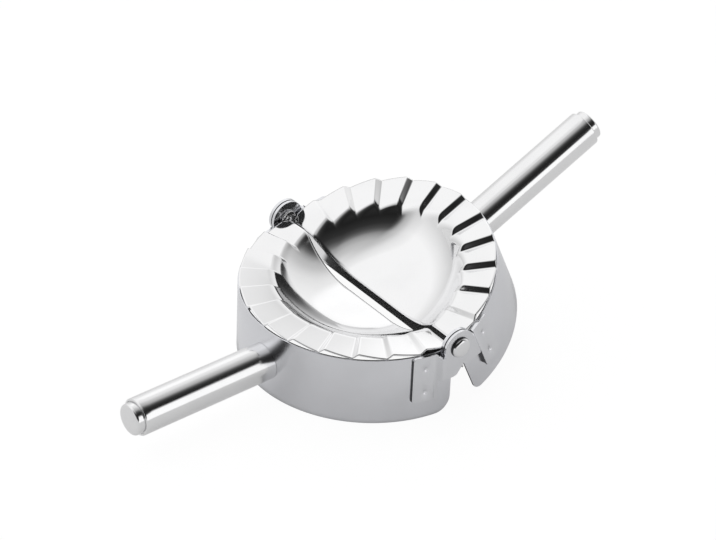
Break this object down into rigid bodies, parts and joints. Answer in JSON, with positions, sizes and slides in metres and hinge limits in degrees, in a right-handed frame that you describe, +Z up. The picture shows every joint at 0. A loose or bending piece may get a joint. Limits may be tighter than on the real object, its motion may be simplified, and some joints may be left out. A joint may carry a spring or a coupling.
{
  "type": "empanada press",
  "caption": "Hinged dumpling and empanada press: pleated half-round trays with bowls on cutter skirts, joined by riveted side hinges, each with a tubular handle.",
  "frame": {"origin": "on the floor plane, below the middle of the hinge line", "axes": "+X towards the folding half's handle, +Y along the hinge line towards the rear pivot, +Z up"},
  "size_m": [0.2123, 0.1058, 0.0619],
  "materials": {
    "ring_steel": "satin",
    "tray_steel": "polished stamping",
    "hinge_steel": "satin",
    "handle_steel": "polished",
    "screw_steel": "bright zinc"
  },
  "bodies": {
    "base_half": {"base_skirt": "ring_steel", "base_tray": "tray_steel", "base_front_bracket": "hinge_steel", "base_rear_bracket": "hinge_steel", "base_handle_tube": "handle_steel", "base_handle_cap": "handle_steel", "base_handle_insert": "screw_steel", "base_handle_screw": "screw_steel", "front_rivet": "hinge_steel", "front_pivot_washer": "screw_steel", "rear_rivet": "hinge_steel", "rear_pivot_washer": "screw_steel"},
    "folding_half": {"folding_skirt": "ring_steel", "folding_tray": "tray_steel", "folding_front_bracket": "hinge_steel", "folding_rear_bracket": "hinge_steel", "folding_handle_tube": "handle_steel", "folding_handle_cap": "handle_steel", "folding_handle_insert": "screw_steel", "folding_handle_screw": "screw_steel"}
  },
  "joints": [
    {"name": "hinge", "type": "hinge", "parent": "base_half", "child": "folding_half", "pos_m": [0, 0, 0.02905], "axis": [0, -1, 0], "range_deg": [-23.5, 156.5]}
  ]
}
